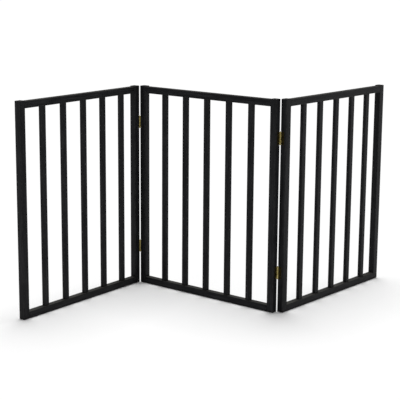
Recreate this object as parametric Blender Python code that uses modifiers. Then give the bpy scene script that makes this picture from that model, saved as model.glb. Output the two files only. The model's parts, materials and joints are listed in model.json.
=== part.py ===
"""Free-standing three-panel folding pet gate.

Three equal panels of black painted wood fold like an accordion on four brass butt hinges.
Each panel is two stiles, two rails tenoned into them, and five slats tenoned into the rails.

World frame: metres, +Z up, -Y is the front, origin on the floor under the middle of the gate's box.
Panel frame: x along the panel from its left end, y from its front face to its back, z up from the floor.
Hinge frame: origin on the pin's axis halfway up the hinge, z along the pin.
"""

import math

import bmesh
import bpy
from mathutils import Vector

# Panels
PANEL_WIDTH = 0.508
PANEL_HEIGHT = 0.610
PANEL_THICKNESS = 0.019
STILE_WIDTH = 0.0212
RAIL_HEIGHT = 0.0195
TOP_RAIL_DROP = 0.002
SLAT_COUNT = 5
SLAT_WIDTH = 0.0174
SLAT_THICKNESS = 0.0108
STILE_EDGE_RADIUS = 0.0013
RAIL_EDGE_RADIUS = 0.0013
SLAT_EDGE_RADIUS = 0.0013
EDGE_SEGMENTS = 2

# How much narrower the last slat gap on the right is than the other gaps of its panel.
LAST_GAP_LOSS = {"left": 0.0205, "middle": 0.0, "right": 0.012}

# Tenons and mortises
GLUE_GAP = 0.0003
MORTISE_END_ROOM = 0.0005
RAIL_TENON_LENGTH = 0.010
RAIL_TENON_THICKNESS = 0.008
RAIL_TENON_HEIGHT = 0.011
SLAT_TENON_LENGTH = 0.008
SLAT_TENON_WIDTH = 0.011
SLAT_TENON_THICKNESS = 0.0055
CUT_OVERRUN = 0.001

# Rest pose, in degrees: where the middle panel points, and how far each joint is turned from flat
MIDDLE_HEADING = -39.7
LEFT_FOLD = 93.5
RIGHT_FOLD = 90.1

# Hinges: the pin's axis stands off the stile's edge and in front of the face that it folds towards.
# The leaves are let into the stiles' edges until they lie flush, and the barrel sits in a rounded notch.
AXIS_TO_STILE = 0.0010
AXIS_TO_FACE = 0.0004
HINGE_HEIGHTS = {"upper": 0.500, "lower": 0.115}
LEAF_HEIGHT = 0.036
LEAF_WIDTH = 0.0125
LEAF_THICKNESS = 0.0012
BARREL_RADIUS = 0.0035
KNUCKLE_COUNT = 5
KNUCKLE_GAP = 0.0003
BORE_RADIUS = 0.00175
PIN_RADIUS = 0.0015
PIN_TIP_RADIUS = 0.0026
PIN_TIP_HEIGHT = 0.0012
BARREL_SIDES = 24
BORE_SIDES = 16
HINGE_GAP = 0.0003

# Screws
SCREW_SPACING = 0.020
SCREW_TO_AXIS = 0.0078
SCREW_HEAD_RADIUS = 0.0026
SCREW_SHANK_RADIUS = 0.00135
SCREW_LENGTH = 0.0115
SCREW_POINT_LENGTH = 0.003
SCREW_SIDES = 16
SCREW_SINK = 0.0001
SCREW_GAP = 0.0003
CROSS_WIDTH = 0.0006
CROSS_LENGTH = 0.0030
CROSS_DEPTH = 0.0007

MERGE_DISTANCE = 0.00001
SMOOTH_ANGLE = math.radians(40)
STRAIGHT = 0.999

INNER_WIDTH = PANEL_WIDTH - 2 * STILE_WIDTH
TOP_RAIL_TOP = PANEL_HEIGHT - TOP_RAIL_DROP
SLAT_BOTTOM = RAIL_HEIGHT + GLUE_GAP
SLAT_TOP = TOP_RAIL_TOP - RAIL_HEIGHT - GLUE_GAP
MOUNT_FACE = AXIS_TO_STILE + LEAF_THICKNESS
HALF_TURN = math.pi


def clear_scene():
    for obj in list(bpy.data.objects):
        bpy.data.objects.remove(obj)


def new_collection(name, hidden=False):
    collection = bpy.data.collections.new(name)
    collection.hide_render = hidden
    bpy.context.scene.collection.children.link(collection)
    return collection


def new_material(name, colour, roughness, metallic=0.0):
    material = bpy.data.materials.new(name)
    material.use_nodes = True
    shader = material.node_tree.nodes["Principled BSDF"]
    shader.inputs["Base Color"].default_value = (*colour, 1.0)
    shader.inputs["Roughness"].default_value = roughness
    shader.inputs["Metallic"].default_value = metallic
    material.diffuse_color = (*colour, 1.0)
    return material


def mesh_from(bm, name):
    mesh = bpy.data.meshes.new(name)
    bm.to_mesh(mesh)
    bm.free()
    return mesh


def eased_box(size, radius=0.0, along=None):
    """A box centred on the origin whose edges are rounded: those along one axis, or all of them."""
    bm = bmesh.new()
    bmesh.ops.create_cube(bm, size=1.0)
    bmesh.ops.scale(bm, vec=size, verts=bm.verts)
    if radius:
        edges = bm.edges[:]
        if along is not None:
            edges = [e for e in edges if abs((e.verts[1].co - e.verts[0].co).normalized()[along]) > STRAIGHT]
        bmesh.ops.bevel(bm, geom=edges, offset=radius, segments=EDGE_SEGMENTS, profile=0.5, affect="EDGES")
    return bm


def add_box(bm, low, high):
    """Adds the box between two corners to a mesh under construction."""
    made = bmesh.ops.create_cube(bm, size=1.0)["verts"]
    bmesh.ops.scale(bm, vec=Vector(high) - Vector(low), verts=made)
    bmesh.ops.translate(bm, vec=(Vector(high) + Vector(low)) / 2, verts=made)


def add_rod(bm, start, end, radius, sides, end_radius=None):
    """Adds a cylinder, or a cone where end_radius differs, between two points."""
    axis = Vector(end) - Vector(start)
    turn = Vector((0.0, 0.0, 1.0)).rotation_difference(axis).to_matrix().to_4x4()
    turn.translation = (Vector(end) + Vector(start)) / 2
    bmesh.ops.create_cone(
        bm,
        cap_ends=True,
        segments=sides,
        radius1=radius,
        radius2=radius if end_radius is None else end_radius,
        depth=axis.length,
        matrix=turn,
    )


class Workshop:
    """Where pieces and helpers are put, and the materials that pieces are made of."""

    def __init__(self):
        self.parts = new_collection("pet_gate")
        self.cutters = new_collection("cutters", hidden=True)
        self.stile_paint = new_material("stile_black_paint", (0.012, 0.012, 0.013), 0.42)
        self.rail_paint = new_material("rail_black_paint", (0.012, 0.012, 0.013), 0.42)
        self.slat_paint = new_material("slat_black_paint", (0.012, 0.012, 0.013), 0.42)
        self.leaf_brass = new_material("leaf_brass", (0.42, 0.31, 0.13), 0.35, 1.0)
        self.pin_brass = new_material("pin_brass", (0.45, 0.34, 0.15), 0.30, 1.0)
        self.screw_brass = new_material("screw_brass", (0.40, 0.30, 0.13), 0.33, 1.0)

    def pivot(self, name, location, heading, parent=None):
        empty = bpy.data.objects.new(name, None)
        empty.location = location
        empty.rotation_euler.z = heading
        empty.parent = parent
        self.parts.objects.link(empty)
        return empty

    def part(self, name, mesh, material, parent, location, rotation=(0.0, 0.0, 0.0)):
        obj = bpy.data.objects.new(name, mesh)
        obj.location = location
        obj.rotation_euler = rotation
        obj.parent = parent
        if not mesh.materials:
            mesh.materials.append(material)
        self.parts.objects.link(obj)
        return obj

    def helper(self, name, bm, parent=None, location=(0.0, 0.0, 0.0)):
        obj = bpy.data.objects.new(name, mesh_from(bm, name))
        obj.location = location
        obj.parent = parent
        obj.hide_render = True
        obj.display_type = "WIRE"
        self.cutters.objects.link(obj)
        return obj


def add_boolean(obj, operation, operand):
    modifier = obj.modifiers.new(operand.name, "BOOLEAN")
    modifier.operation = operation
    modifier.solver = "EXACT"
    modifier.object = operand


def baked(model, helpers):
    """The model's finished mesh. The model and its helpers are removed, because copies share the mesh."""
    graph = bpy.context.evaluated_depsgraph_get()
    mesh = bpy.data.meshes.new_from_object(model.evaluated_get(graph))
    mesh.name = model.name
    for obj in [model, *helpers]:
        bpy.data.objects.remove(obj)
    return mesh


def shade_round(mesh):
    mesh.shade_smooth()
    mesh.set_sharp_from_angle(angle=SMOOTH_ANGLE)


def turned_mesh(shop, name, profile, sides):
    """The solid turned round z from (radius, z) points that run down the outer side."""
    bm = bmesh.new()
    points = [bm.verts.new((radius, 0.0, z)) for radius, z in profile]
    for upper, lower in zip(points, points[1:]):
        bm.edges.new((upper, lower))
    model = shop.helper(name, bm)
    turn = model.modifiers.new("turn", "SCREW")
    turn.steps = sides
    turn.render_steps = sides
    turn.use_merge_vertices = True
    turn.merge_threshold = MERGE_DISTANCE
    mesh = baked(model, [])
    shade_round(mesh)
    return mesh


def slat_centres(side):
    """Where the slats stand along a panel: equal gaps, with the last one narrower by the panel's loss."""
    free = INNER_WIDTH - SLAT_COUNT * SLAT_WIDTH
    gap = (free + LAST_GAP_LOSS[side]) / (SLAT_COUNT + 1)
    first = STILE_WIDTH + gap + SLAT_WIDTH / 2
    return [first + i * (gap + SLAT_WIDTH) for i in range(SLAT_COUNT)]


def tenoned_bar(shop, name, size, radius, along, tenon_size):
    """A bar with its long edges eased and a tenon at each end, centred on the origin."""
    bar = shop.helper(name, eased_box(size, radius, along))
    core = shop.helper(name + "_tenons", eased_box(tenon_size))
    add_boolean(bar, "UNION", core)
    return baked(bar, [core])


def rail_mesh(shop, name):
    length = INNER_WIDTH - 2 * GLUE_GAP
    return tenoned_bar(
        shop,
        name,
        (length, PANEL_THICKNESS, RAIL_HEIGHT),
        RAIL_EDGE_RADIUS,
        0,
        (length + 2 * RAIL_TENON_LENGTH, RAIL_TENON_THICKNESS, RAIL_TENON_HEIGHT),
    )


def slat_mesh(shop):
    length = SLAT_TOP - SLAT_BOTTOM
    return tenoned_bar(
        shop,
        "slat",
        (SLAT_WIDTH, SLAT_THICKNESS, length),
        SLAT_EDGE_RADIUS,
        2,
        (SLAT_TENON_WIDTH, SLAT_TENON_THICKNESS, length + 2 * SLAT_TENON_LENGTH),
    )


def rail_mortises(side):
    """The pockets in both rails of a panel that take its slats' tenons."""
    bm = bmesh.new()
    half_width = SLAT_TENON_WIDTH / 2 + GLUE_GAP
    half_depth = SLAT_TENON_THICKNESS / 2 + GLUE_GAP
    middle = PANEL_THICKNESS / 2
    depth = SLAT_TENON_LENGTH + MORTISE_END_ROOM
    in_bottom_rail = (SLAT_BOTTOM - depth, SLAT_BOTTOM + CUT_OVERRUN)
    in_top_rail = (SLAT_TOP - CUT_OVERRUN, SLAT_TOP + depth)
    for x in slat_centres(side):
        for start, end in (in_bottom_rail, in_top_rail):
            low = (x - half_width, middle - half_depth, start)
            high = (x + half_width, middle + half_depth, end)
            add_box(bm, low, high)
    return bm


def stile_pockets(edges):
    """The pockets for the rails' tenons, and screw holes in the edges that carry hinges.

    Each edge is (x of the stile's outer edge, direction out of the stile, y of the hinge's axis or None,
    direction from that axis to the leaf).
    """
    bm = bmesh.new()
    half_depth = RAIL_TENON_THICKNESS / 2 + GLUE_GAP
    half_height = RAIL_TENON_HEIGHT / 2 + GLUE_GAP
    middle = PANEL_THICKNESS / 2
    depth = RAIL_TENON_LENGTH + MORTISE_END_ROOM
    for x, outward, axis_y, to_leaf in edges:
        mouth = x - outward * STILE_WIDTH
        ends = sorted((mouth + outward * depth, mouth - outward * CUT_OVERRUN))
        for z in (RAIL_HEIGHT / 2, TOP_RAIL_TOP - RAIL_HEIGHT / 2):
            low = (ends[0], middle - half_depth, z - half_height)
            high = (ends[1], middle + half_depth, z + half_height)
            add_box(bm, low, high)
        if axis_y is None:
            continue
        y = axis_y + to_leaf * SCREW_TO_AXIS
        for hinge_z in HINGE_HEIGHTS.values():
            for z in (hinge_z - SCREW_SPACING / 2, hinge_z + SCREW_SPACING / 2):
                start = (x + outward * CUT_OVERRUN, y, z)
                end = (x - outward * (SCREW_LENGTH + SCREW_SINK + SCREW_GAP), y, z)
                add_rod(bm, start, end, SCREW_SHANK_RADIUS + SCREW_GAP, SCREW_SIDES)
    return bm


def leaf_gains(edges):
    """The shallow steps, open to the folding face, that the hinge leaves lie in."""
    bm = bmesh.new()
    half_height = LEAF_HEIGHT / 2 + HINGE_GAP
    for x, outward, axis_y, to_leaf in edges:
        if axis_y is None:
            continue
        floor = x - outward * (LEAF_THICKNESS + HINGE_GAP)
        across = sorted((floor, x + outward * CUT_OVERRUN))
        along = sorted((axis_y - to_leaf * CUT_OVERRUN, axis_y + to_leaf * (LEAF_WIDTH + HINGE_GAP)))
        for z in HINGE_HEIGHTS.values():
            add_box(bm, (across[0], along[0], z - half_height), (across[1], along[1], z + half_height))
    return bm


def barrel_notches(edges):
    """The rounded notches, as tall as the pins, that leave room for the hinge barrels."""
    bm = bmesh.new()
    half_height = LEAF_HEIGHT / 2 + KNUCKLE_GAP + PIN_TIP_HEIGHT + HINGE_GAP
    for x, outward, axis_y, _ in edges:
        if axis_y is None:
            continue
        axis_x = x + outward * AXIS_TO_STILE
        for z in HINGE_HEIGHTS.values():
            start = (axis_x, axis_y, z - half_height)
            end = (axis_x, axis_y, z + half_height)
            add_rod(bm, start, end, BARREL_RADIUS + HINGE_GAP, BARREL_SIDES)
    return bm


def build_panel(shop, side, empty, pivot, edges, slat):
    """The nine wooden pieces of one panel. pivot is the empty's place in the panel frame."""
    offset = Vector(pivot)
    middle = PANEL_THICKNESS / 2
    cuts = [
        shop.helper(side + "_stile_pockets", stile_pockets(edges), empty, -offset),
        shop.helper(side + "_leaf_gains", leaf_gains(edges), empty, -offset),
        shop.helper(side + "_barrel_notches", barrel_notches(edges), empty, -offset),
    ]
    mortises = shop.helper(side + "_rail_mortises", rail_mortises(side), empty, -offset)
    stile_size = (STILE_WIDTH, PANEL_THICKNESS, PANEL_HEIGHT)
    for end, x in (("left", STILE_WIDTH / 2), ("right", PANEL_WIDTH - STILE_WIDTH / 2)):
        mesh = mesh_from(eased_box(stile_size, STILE_EDGE_RADIUS), "stile")
        place = Vector((x, middle, PANEL_HEIGHT / 2)) - offset
        stile = shop.part(f"{side}_panel_{end}_stile", mesh, shop.stile_paint, empty, place)
        for cut in cuts:
            add_boolean(stile, "DIFFERENCE", cut)
    for level, z in (("top", TOP_RAIL_TOP - RAIL_HEIGHT / 2), ("bottom", RAIL_HEIGHT / 2)):
        place = Vector((PANEL_WIDTH / 2, middle, z)) - offset
        rail = shop.part(f"{side}_panel_{level}_rail", rail_mesh(shop, "rail"), shop.rail_paint, empty, place)
        add_boolean(rail, "DIFFERENCE", mortises)
    for number, x in enumerate(slat_centres(side), start=1):
        place = Vector((x, middle, (SLAT_BOTTOM + SLAT_TOP) / 2)) - offset
        shop.part(f"{side}_panel_slat_{number}", slat, shop.slat_paint, empty, place)


def knuckle_spans(first):
    """(bottom, top) of every second knuckle, counted from the bottom of the barrel."""
    pitch = LEAF_HEIGHT / KNUCKLE_COUNT
    for number in range(first, KNUCKLE_COUNT, 2):
        bottom = number * pitch - LEAF_HEIGHT / 2
        yield bottom + KNUCKLE_GAP / 2, bottom + pitch - KNUCKLE_GAP / 2


def leaf_mesh(shop, name, side, first):
    """A hinge leaf, spread towards +y from its barrel. side is the x direction of the stile that it is on."""
    faces = (side * MOUNT_FACE, side * (MOUNT_FACE - LEAF_THICKNESS))
    low, high = min(faces), max(faces)
    plate_start = BARREL_RADIUS + KNUCKLE_GAP
    bm = bmesh.new()
    add_box(bm, (low, plate_start, -LEAF_HEIGHT / 2), (high, LEAF_WIDTH, LEAF_HEIGHT / 2))
    leaf = shop.helper(name, bm)

    fingers = bmesh.new()
    rods = bmesh.new()
    for bottom, top in knuckle_spans(first):
        add_box(fingers, (low, 0.0, bottom), (high, plate_start + CUT_OVERRUN, top))
        add_rod(rods, (0.0, 0.0, bottom), (0.0, 0.0, top), BARREL_RADIUS, BARREL_SIDES)
    bore = bmesh.new()
    reach = LEAF_HEIGHT / 2 + CUT_OVERRUN
    add_rod(bore, (0.0, 0.0, -reach), (0.0, 0.0, reach), BORE_RADIUS, BORE_SIDES)

    helpers = [
        shop.helper("fingers", fingers),
        shop.helper("rods", rods),
        shop.helper("bore", bore),
        shop.helper("countersinks", countersinks(side)),
    ]
    for helper, operation in zip(helpers, ("UNION", "UNION", "DIFFERENCE", "DIFFERENCE")):
        add_boolean(leaf, operation, helper)
    mesh = baked(leaf, helpers)
    shade_round(mesh)
    return mesh


def countersinks(side):
    """The two screw holes of a leaf: cones that narrow towards the stile."""
    bm = bmesh.new()
    outer = MOUNT_FACE - LEAF_THICKNESS
    head = SCREW_HEAD_RADIUS + SCREW_GAP
    shank = SCREW_SHANK_RADIUS + SCREW_GAP
    slope = (head - shank) / LEAF_THICKNESS
    spread = slope * CUT_OVERRUN / 2
    for z in (-SCREW_SPACING / 2, SCREW_SPACING / 2):
        start = (side * (outer - CUT_OVERRUN / 2), SCREW_TO_AXIS, z)
        end = (side * (MOUNT_FACE + CUT_OVERRUN / 2), SCREW_TO_AXIS, z)
        add_rod(bm, start, end, head + spread, SCREW_SIDES, shank - spread)
    return bm


def dome(radius, height, base, steps, rising):
    """Points of a turned dome from its rim to its crown, or back down when it isn't rising."""
    turns = [math.pi / 2 * i / steps for i in range(steps + 1)]
    points = [(radius * math.cos(t), base + height * math.sin(t)) for t in turns]
    return points if rising else points[::-1]


def pin_mesh(shop):
    rim = LEAF_HEIGHT / 2 + KNUCKLE_GAP
    crown = dome(PIN_TIP_RADIUS, PIN_TIP_HEIGHT, rim, 3, rising=False)
    foot = dome(PIN_TIP_RADIUS, -PIN_TIP_HEIGHT, -rim, 3, rising=True)
    shaft = [(PIN_RADIUS, rim), (PIN_RADIUS, -rim)]
    return turned_mesh(shop, "hinge_pin", [*crown, *shaft, *foot], BORE_SIDES)


def screw_mesh(shop):
    """A countersunk screw with a cross recess. Its head's face is at z = 0 and it points down."""
    profile = [
        (0.0, 0.0),
        (SCREW_HEAD_RADIUS, 0.0),
        (SCREW_SHANK_RADIUS, -LEAF_THICKNESS),
        (SCREW_SHANK_RADIUS, SCREW_POINT_LENGTH - SCREW_LENGTH),
        (0.0, -SCREW_LENGTH),
    ]
    mesh = turned_mesh(shop, "hinge_screw", profile, SCREW_SIDES)
    blank = bpy.data.objects.new("hinge_screw", mesh)
    shop.cutters.objects.link(blank)
    slots = []
    for length, width in ((CROSS_LENGTH, CROSS_WIDTH), (CROSS_WIDTH, CROSS_LENGTH)):
        bm = bmesh.new()
        add_box(bm, (-length / 2, -width / 2, -CROSS_DEPTH), (length / 2, width / 2, CUT_OVERRUN))
        slots.append(shop.helper("cross_slot", bm))
        add_boolean(blank, "DIFFERENCE", slots[-1])
    finished = baked(blank, slots)
    shade_round(finished)
    return finished


class HingeSet:
    """Meshes that every hinge shares."""

    def __init__(self, shop):
        self.fixed_leaf = leaf_mesh(shop, "fixed_leaf", side=1, first=0)
        self.swing_leaf = leaf_mesh(shop, "swing_leaf", side=-1, first=1)
        self.pin = pin_mesh(shop)
        self.screw = screw_mesh(shop)


def add_leaf(shop, name, mesh, screw, empty, centre, side, turned):
    """One leaf and its screws, on the panel whose empty is given. turned puts the barrel on the back."""
    turn = HALF_TURN if turned else 0.0
    facing = -1 if turned else 1
    shop.part(name + "_leaf", mesh, shop.leaf_brass, empty, centre, (0.0, 0.0, turn))
    stile_side = side * facing
    head = MOUNT_FACE - LEAF_THICKNESS + SCREW_SINK
    for level, z in (("top", SCREW_SPACING / 2), ("bottom", -SCREW_SPACING / 2)):
        place = Vector(centre) + Vector((stile_side * head, facing * SCREW_TO_AXIS, z))
        tilt = (0.0, -stile_side * math.pi / 2, 0.0)
        shop.part(f"{name}_screw_{level}", screw, shop.screw_brass, empty, place, tilt)


def build_joint(shop, side, hinges, middle, axis, outer, turned):
    """The two hinges of a joint. axis is the joint's place in the middle panel's frame."""
    for level, z in HINGE_HEIGHTS.items():
        name = f"{side}_{level}_hinge"
        on_middle = Vector((axis[0], axis[1], z))
        on_outer = Vector((0.0, 0.0, z))
        add_leaf(shop, name + "_fixed", hinges.fixed_leaf, hinges.screw, middle, on_middle, 1, turned)
        add_leaf(shop, name + "_swing", hinges.swing_leaf, hinges.screw, outer, on_outer, -1, turned)
        shop.part(name + "_pin", hinges.pin, shop.pin_brass, middle, on_middle)


def stand_on_origin(root, collection):
    """Moves the gate so that the middle of its box's underside is the world's origin."""
    bpy.context.view_layer.update()
    graph = bpy.context.evaluated_depsgraph_get()
    points = []
    for obj in collection.objects:
        if obj.type == "MESH":
            shape = obj.evaluated_get(graph)
            points.extend(shape.matrix_world @ v.co for v in shape.data.vertices)
    low = [min(p[axis] for p in points) for axis in range(3)]
    high = [max(p[axis] for p in points) for axis in range(3)]
    root.location -= Vector(((low[0] + high[0]) / 2, (low[1] + high[1]) / 2, low[2]))


def main():
    clear_scene()
    shop = Workshop()
    back_axis = PANEL_THICKNESS + AXIS_TO_FACE
    left_axis = (-AXIS_TO_STILE, -AXIS_TO_FACE, 0.0)
    right_axis = (PANEL_WIDTH + AXIS_TO_STILE, back_axis, 0.0)

    middle = shop.pivot("middle_panel", (0.0, 0.0, 0.0), math.radians(MIDDLE_HEADING))
    left = shop.pivot("left_fold", left_axis, math.radians(LEFT_FOLD), middle)
    right = shop.pivot("right_fold", right_axis, math.radians(RIGHT_FOLD), middle)

    slat = slat_mesh(shop)
    left_end = (0.0, -1, None, 0)
    right_end = (PANEL_WIDTH, 1, None, 0)
    front_hinge = (-AXIS_TO_FACE, 1)
    back_hinge = (back_axis, -1)
    middle_edges = [(0.0, -1, *front_hinge), (PANEL_WIDTH, 1, *back_hinge)]
    build_panel(shop, "middle", middle, (0.0, 0.0, 0.0), middle_edges, slat)
    left_pivot = (PANEL_WIDTH + AXIS_TO_STILE, -AXIS_TO_FACE, 0.0)
    build_panel(shop, "left", left, left_pivot, [left_end, (PANEL_WIDTH, 1, *front_hinge)], slat)
    right_pivot = (-AXIS_TO_STILE, back_axis, 0.0)
    build_panel(shop, "right", right, right_pivot, [(0.0, -1, *back_hinge), right_end], slat)

    hinges = HingeSet(shop)
    build_joint(shop, "left", hinges, middle, left_axis, left, turned=False)
    build_joint(shop, "right", hinges, middle, right_axis, right, turned=True)
    stand_on_origin(middle, shop.parts)


main()
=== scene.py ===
"""Looks for the three-panel folding pet gate: black painted wood, dull brass hinges, pale studio floor."""

import json
import math

import bpy
from mathutils import Matrix, Vector

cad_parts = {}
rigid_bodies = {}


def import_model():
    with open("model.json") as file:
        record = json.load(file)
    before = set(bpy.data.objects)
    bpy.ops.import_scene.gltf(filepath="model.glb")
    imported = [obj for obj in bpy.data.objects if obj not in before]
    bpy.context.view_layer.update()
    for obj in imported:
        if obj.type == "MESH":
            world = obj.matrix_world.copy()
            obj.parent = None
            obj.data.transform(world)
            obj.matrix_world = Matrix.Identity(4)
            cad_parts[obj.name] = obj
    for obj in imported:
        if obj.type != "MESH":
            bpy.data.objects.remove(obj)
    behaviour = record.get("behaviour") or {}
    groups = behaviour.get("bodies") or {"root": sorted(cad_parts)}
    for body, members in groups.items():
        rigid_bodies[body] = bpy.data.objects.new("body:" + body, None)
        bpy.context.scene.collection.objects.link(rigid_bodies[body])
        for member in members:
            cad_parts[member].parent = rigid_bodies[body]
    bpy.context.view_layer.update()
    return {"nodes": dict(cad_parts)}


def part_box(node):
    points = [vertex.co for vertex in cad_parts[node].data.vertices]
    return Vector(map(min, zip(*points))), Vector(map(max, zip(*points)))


for leftover in list(bpy.data.objects):
    bpy.data.objects.remove(leftover)

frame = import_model()
nodes = frame["nodes"]

# ---------------------------------------------------------------- camera

IMAGE_SIZE = 400
FOCAL_PIXELS = 1209.4
SENSOR = 36.0
CAMERA_PLACE = Vector((-0.03026, -3.46550, 1.00525))
CAMERA_PITCH = 0.20252
CAMERA_ROLL = 0.00736
CLIP_START = 0.05
CLIP_END = 50.0


def make_camera():
    data = bpy.data.cameras.new("camera")
    data.sensor_width = SENSOR
    data.lens = SENSOR * FOCAL_PIXELS / IMAGE_SIZE
    data.clip_start = CLIP_START
    data.clip_end = CLIP_END
    camera = bpy.data.objects.new("camera", data)
    bpy.context.scene.collection.objects.link(camera)
    level_right = Vector((1, 0, 0))
    level_up = Vector((0, math.sin(CAMERA_PITCH), math.cos(CAMERA_PITCH)))
    right = math.cos(CAMERA_ROLL) * level_right + math.sin(CAMERA_ROLL) * level_up
    up = math.cos(CAMERA_ROLL) * level_up - math.sin(CAMERA_ROLL) * level_right
    back = right.cross(up)
    turn = Matrix((right, up, back)).transposed().to_4x4()
    camera.matrix_world = Matrix.Translation(CAMERA_PLACE) @ turn
    bpy.context.scene.camera = camera


# ---------------------------------------------------------------- node helpers


class Nodes:
    """Short calls for building one material's nodes."""

    def __init__(self, name):
        self.material = bpy.data.materials.new(name)
        self.material.use_nodes = True
        self.tree = self.material.node_tree
        self.shader = self.tree.nodes["Principled BSDF"]

    def wire(self, source, socket):
        if isinstance(source, (int, float, tuple)):
            socket.default_value = source
        else:
            self.tree.links.new(source, socket)

    def add(self, kind, **settings):
        node = self.tree.nodes.new(kind)
        for key, value in settings.items():
            setattr(node, key, value)
        return node

    def math(self, operation, a, b=0.0, clamp=False):
        node = self.add("ShaderNodeMath", operation=operation, use_clamp=clamp)
        self.wire(a, node.inputs[0])
        self.wire(b, node.inputs[1])
        return node.outputs[0]

    def between(self, value, low, high, to_low=0.0, to_high=1.0):
        node = self.add("ShaderNodeMapRange", interpolation_type="SMOOTHSTEP")
        for socket, source in zip(node.inputs, (value, low, high, to_low, to_high)):
            self.wire(source, socket)
        return node.outputs[0]

    def mix(self, factor, a, b):
        node = self.add("ShaderNodeMix", data_type="RGBA")
        self.wire(factor, node.inputs["Factor"])
        self.wire(a, node.inputs[6])
        self.wire(b, node.inputs[7])
        return node.outputs[2]

    def place(self, heading=0.0, stretch=(1.0, 1.0, 1.0), origin=(0.0, 0.0, 0.0)):
        """The object's own coordinates, measured from origin, turned about z and then stretched."""
        source = self.add("ShaderNodeTexCoord").outputs["Object"]
        moved = self.add("ShaderNodeVectorMath", operation="SUBTRACT")
        self.wire(source, moved.inputs[0])
        self.wire(origin, moved.inputs[1])
        turned = self.add("ShaderNodeMapping")
        self.wire(moved.outputs[0], turned.inputs["Vector"])
        self.wire((0.0, 0.0, -heading), turned.inputs["Rotation"])
        scaled = self.add("ShaderNodeVectorMath", operation="MULTIPLY")
        self.wire(turned.outputs[0], scaled.inputs[0])
        self.wire(stretch, scaled.inputs[1])
        return scaled.outputs[0]

    def noise(self, where, scale, detail=3.0, roughness=0.5):
        node = self.add("ShaderNodeTexNoise")
        for key, value in (("Vector", where), ("Scale", scale), ("Detail", detail), ("Roughness", roughness)):
            self.wire(value, node.inputs[key])
        return node.outputs[0]

    def edges(self, radius, low, high):
        """1 on the eased edges and corners, 0 on flat faces."""
        soft = self.add("ShaderNodeBevel", samples=4)
        soft.inputs["Radius"].default_value = radius
        dot = self.add("ShaderNodeVectorMath", operation="DOT_PRODUCT")
        self.wire(soft.outputs[0], dot.inputs[0])
        self.wire(self.add("ShaderNodeNewGeometry").outputs["True Normal"], dot.inputs[1])
        return self.between(self.math("SUBTRACT", 1.0, dot.outputs["Value"]), low, high)

    def bump(self, *layers):
        """Layers of (height, strength, depth in metres), from the coarsest to the finest."""
        normal = None
        for height, strength, depth in layers:
            node = self.add("ShaderNodeBump")
            self.wire(height, node.inputs["Height"])
            self.wire(strength, node.inputs["Strength"])
            self.wire(depth, node.inputs["Distance"])
            if normal:
                self.wire(normal, node.inputs["Normal"])
            normal = node.outputs[0]
        self.wire(normal, self.shader.inputs["Normal"])

    def finish(self, colour, roughness, specular=0.5, metallic=0.0):
        self.wire(colour, self.shader.inputs["Base Color"])
        self.wire(roughness, self.shader.inputs["Roughness"])
        self.shader.inputs["Specular IOR Level"].default_value = specular
        self.shader.inputs["Metallic"].default_value = metallic
        return self.material


# ---------------------------------------------------------------- materials

HEADINGS = {"left": math.radians(53.8), "middle": math.radians(-39.7), "right": math.radians(50.4)}
PAINT_DARK = (0.0090, 0.0092, 0.0102, 1)
PAINT_LIGHT = (0.0300, 0.0304, 0.0330, 1)
PAINT_WORN = (0.060, 0.057, 0.051, 1)
# Lighter tone on upward faces: painted top light, with some dust.
PAINT_DUST_AND_TOP_LIGHT = (0.066, 0.064, 0.058, 1)
PAINT_SPECULAR = 0.06
STREAKS_ALONG = 16.0
STREAKS_ACROSS = 330.0
GRAIN_TO_STREAKS = 0.28
EDGE_WEAR_RADIUS = 0.0025
WEAR_AMOUNT = 0.8
DUST_AND_TOP_LIGHT_AMOUNT = 0.7
WORN_ROUGHNESS = 0.2

BRASS_BRIGHT = (0.52, 0.44, 0.18, 1)
BRASS_DULL = (0.26, 0.21, 0.075, 1)
BRASS_DARK = (0.020, 0.014, 0.005, 1)
BARREL_EDGE = 0.0036
PLATE_START = 0.0044
RUBBED_RADIUS = 0.0004
# How dark each part goes away from the pin: partly darkened brass, partly painted shade of the fold between
# the panels.
DARKENED_AND_SHADED = {"leaf": 0.96, "pin": 0.0, "screw": 0.9}


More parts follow.
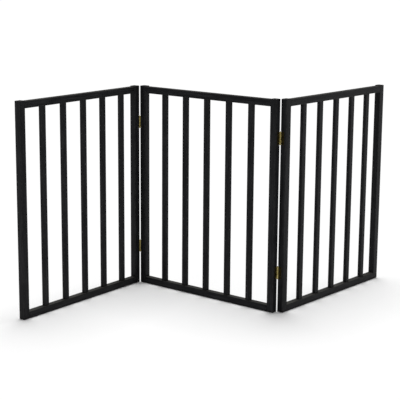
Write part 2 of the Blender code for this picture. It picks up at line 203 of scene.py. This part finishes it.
def black_paint(name, heading, level):
    """Satin paint brushed along the wood, whose grain shows faintly, worn thin on the edges."""
    n = Nodes(name)
    stretch = (STREAKS_ACROSS, STREAKS_ACROSS, STREAKS_ALONG)
    if level:
        stretch = (STREAKS_ALONG, STREAKS_ACROSS, STREAKS_ACROSS)
    brushing = n.noise(n.place(heading, stretch), 1.0, 5.0, 0.62)
    grain = n.noise(n.place(heading, tuple(GRAIN_TO_STREAKS * s for s in stretch)), 1.0, 3.0, 0.55)
    peel = n.noise(n.place(), 950.0, 2.0)
    cloud = n.noise(n.place(), 22.0, 3.0)
    wear_spots = n.noise(n.place(), 120.0, 5.0, 0.7)

    streaks = n.between(n.math("MULTIPLY", brushing, n.math("ADD", grain, 0.5)), 0.30, 0.75)
    lightness = n.math("MULTIPLY", streaks, n.between(cloud, 0.3, 0.7, 0.45, 1.0))
    colour = n.mix(lightness, PAINT_DARK, PAINT_LIGHT)
    on_edges = n.edges(EDGE_WEAR_RADIUS, 0.004, 0.07)
    wear = n.math("MULTIPLY", on_edges, n.between(wear_spots, 0.42, 0.66))
    colour = n.mix(n.math("MULTIPLY", wear, WEAR_AMOUNT), colour, PAINT_WORN)
    # Upward faces get lighter, patchy by the cloud noise: painted top light, partly dust; the same mask also
    # raises roughness.
    facing = n.add("ShaderNodeSeparateXYZ")
    n.wire(n.add("ShaderNodeNewGeometry").outputs["Normal"], facing.inputs[0])
    upward = n.between(facing.outputs["Z"], 0.6, 0.95)
    dust_and_top_light = n.math("MULTIPLY", upward, n.between(cloud, 0.35, 0.65, 0.55, 0.85))
    colour = n.mix(n.math("MULTIPLY", dust_and_top_light, DUST_AND_TOP_LIGHT_AMOUNT), colour, PAINT_DUST_AND_TOP_LIGHT)

    sheen = n.math("ADD", n.math("MULTIPLY", brushing, 0.5), n.math("MULTIPLY", cloud, 0.5))
    dulled = n.math("MULTIPLY", n.math("MAXIMUM", wear, dust_and_top_light), WORN_ROUGHNESS)
    roughness = n.math("ADD", n.between(sheen, 0.3, 0.7, 0.30, 0.48), dulled, clamp=True)
    n.bump((grain, 0.55, 0.00035), (brushing, 0.45, 0.00015), (peel, 0.15, 0.00004))
    return n.finish(colour, roughness, PAINT_SPECULAR)


def old_brass(name, axis, leaf_dark_and_shade):
    """Brass, bright where it is rubbed and brown in the hollows, and darker away from the pin, where the
    leaves are darkened brass with painted shade of the fold.
    """
    n = Nodes(name)
    turning = n.noise(n.place(stretch=(40.0, 40.0, 2600.0)), 1.0, 2.0)
    blotch = n.noise(n.place(), 260.0, 5.0, 0.65)
    speck = n.noise(n.place(), 1500.0, 3.0, 0.7)
    reach = n.add("ShaderNodeVectorMath", operation="LENGTH")
    n.wire(n.place(stretch=(1.0, 1.0, 0.0), origin=axis), reach.inputs[0])
    # Near-black leaf region away from the barrel: partly darkened brass, partly painted shade of the fold.
    leaf_dark_and_shade_mask = n.between(reach.outputs["Value"], BARREL_EDGE, PLATE_START, 0.0, leaf_dark_and_shade)

    tarnish = n.between(n.math("ADD", blotch, n.math("MULTIPLY", turning, 0.25)), 0.45, 0.80)
    colour = n.mix(tarnish, BRASS_BRIGHT, BRASS_DULL)
    colour = n.mix(n.math("MULTIPLY", n.between(speck, 0.58, 0.74), 0.6), colour, BRASS_DARK)
    colour = n.mix(leaf_dark_and_shade_mask, colour, BRASS_DARK)
    on_edges = n.edges(RUBBED_RADIUS, 0.02, 0.25)
    rubbed = n.math("MULTIPLY", on_edges, n.between(blotch, 0.4, 0.7, 0.7, 0.1))
    colour = n.mix(n.math("MULTIPLY", rubbed, n.math("SUBTRACT", 1.0, leaf_dark_and_shade_mask)), colour, BRASS_BRIGHT)
    mottle = n.math("ADD", n.math("MULTIPLY", blotch, 0.7), n.math("MULTIPLY", speck, 0.3))
    n.bump((blotch, 0.10, 0.00010), (turning, 0.12, 0.00003), (speck, 0.10, 0.00002))
    return n.finish(colour, n.between(mottle, 0.3, 0.7, 0.34, 0.58), 0.5, 1.0)


def dress(node, material):
    node.data.materials.clear()
    node.data.materials.append(material)


def joint_axis(side):
    """The pin's place, from the box of that joint's upper pin."""
    low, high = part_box(f"{side}_upper_hinge_pin")
    return ((low[0] + high[0]) / 2, (low[1] + high[1]) / 2, 0.0)


def dress_gate():
    for side, heading in HEADINGS.items():
        paints = {
            "stile": black_paint(f"{side}_stile_black_paint", heading, level=False),
            "rail": black_paint(f"{side}_rail_black_paint", heading, level=True),
            "slat": black_paint(f"{side}_slat_black_paint", heading, level=False),
        }
        for name, node in nodes.items():
            if name.startswith(f"{side}_panel_"):
                dress(node, paints[next(kind for kind in paints if kind in name)])
    for side in ("left", "right"):
        axis = joint_axis(side)
        brasses = {kind: old_brass(f"{side}_{kind}_brass", axis, dark) for kind, dark in DARKENED_AND_SHADED.items()}
        for name, node in nodes.items():
            if "hinge" in name and name.startswith(side):
                dress(node, brasses[next(kind for kind in brasses if kind in name)])


# ---------------------------------------------------------------- smooth edges

WOOD_CREASE = math.radians(50)
BRASS_CREASE = math.radians(33)
MERGE_DISTANCE = 0.00001


def smoothing_group(name, crease):
    """Welds a carried-over mesh and shades it smooth, apart from its true creases."""
    group = bpy.data.node_groups.new(name, "GeometryNodeTree")
    group.interface.new_socket("Geometry", in_out="INPUT", socket_type="NodeSocketGeometry")
    group.interface.new_socket("Geometry", in_out="OUTPUT", socket_type="NodeSocketGeometry")
    add, link = group.nodes.new, group.links.new
    weld = add("GeometryNodeMergeByDistance")
    weld.inputs["Distance"].default_value = MERGE_DISTANCE
    strip = add("GeometryNodeRemoveAttribute")
    strip.inputs["Name"].default_value = "custom_normal"
    faces = add("GeometryNodeSetShadeSmooth")
    faces.inputs["Shade Smooth"].default_value = True
    creases = add("GeometryNodeSetShadeSmooth")
    creases.domain = "EDGE"
    creases.inputs["Shade Smooth"].default_value = False
    angle = add("GeometryNodeInputMeshEdgeAngle")
    steep = add("FunctionNodeCompare")
    steep.data_type = "FLOAT"
    steep.operation = "GREATER_THAN"
    steep.inputs[1].default_value = crease
    link(angle.outputs["Unsigned Angle"], steep.inputs[0])
    link(steep.outputs[0], creases.inputs["Selection"])
    chain = [add("NodeGroupInput"), weld, strip, faces, creases, add("NodeGroupOutput")]
    for before, after in zip(chain, chain[1:]):
        link(before.outputs[0], after.inputs[0])
    return group


def smooth_gate():
    wood = smoothing_group("smooth_wood", WOOD_CREASE)
    brass = smoothing_group("smooth_brass", BRASS_CREASE)
    for name, node in nodes.items():
        smooth = node.modifiers.new("smooth_edges", "NODES")
        smooth.node_group = brass if "hinge" in name else wood
        even = node.modifiers.new("flat_faces_stay_flat", "WEIGHTED_NORMAL")
        even.keep_sharp = True
        even.weight = 100


# ---------------------------------------------------------------- room

FLOOR_HALF = 60.0
FLOOR_DROP = 0.0005
FLOOR_WHITE = (0.93, 0.93, 0.93, 1)
SUN_ELEVATION = 77.0
SUN_AZIMUTH = 5.0
SUN_ANGLE = 36.0
SUN_STRENGTH = 2.86
FILL_STRENGTH = 0.22


def make_floor():
    mesh = bpy.data.meshes.new("floor")
    h = FLOOR_HALF
    mesh.from_pydata([(-h, -h, 0), (h, -h, 0), (h, h, 0), (-h, h, 0)], [], [(0, 1, 2, 3)])
    floor = bpy.data.objects.new("floor", mesh)
    floor.location.z = -FLOOR_DROP
    bpy.context.scene.collection.objects.link(floor)
    mesh.materials.append(Nodes("floor_white").finish(FLOOR_WHITE, 1.0, 0.0))


def make_world():
    world = bpy.data.worlds.new("studio")
    world.use_nodes = True
    tree = world.node_tree
    fill = tree.nodes["Background"]
    fill.inputs["Color"].default_value = (1, 1, 1, 1)
    fill.inputs["Strength"].default_value = FILL_STRENGTH
    backdrop = tree.nodes.new("ShaderNodeBackground")
    backdrop.inputs["Color"].default_value = (1, 1, 1, 1)
    seen = tree.nodes.new("ShaderNodeLightPath")
    mix = tree.nodes.new("ShaderNodeMixShader")
    tree.links.new(seen.outputs["Is Camera Ray"], mix.inputs[0])
    tree.links.new(fill.outputs[0], mix.inputs[1])
    tree.links.new(backdrop.outputs[0], mix.inputs[2])
    tree.links.new(mix.outputs[0], tree.nodes["World Output"].inputs["Surface"])
    bpy.context.scene.world = world


def make_lights():
    make_world()
    data = bpy.data.lights.new("softbox", "SUN")
    data.energy = SUN_STRENGTH
    data.angle = math.radians(SUN_ANGLE)
    light = bpy.data.objects.new("softbox", data)
    e, a = math.radians(SUN_ELEVATION), math.radians(SUN_AZIMUTH)
    towards = Vector((math.sin(a) * math.cos(e), math.cos(a) * math.cos(e), math.sin(e)))
    light.rotation_euler = towards.to_track_quat("Z", "Y").to_euler()
    bpy.context.scene.collection.objects.link(light)


# ---------------------------------------------------------------- the scene

make_camera()
dress_gate()
smooth_gate()
make_floor()
make_lights()
bpy.context.scene.view_settings.view_transform = "Standard"
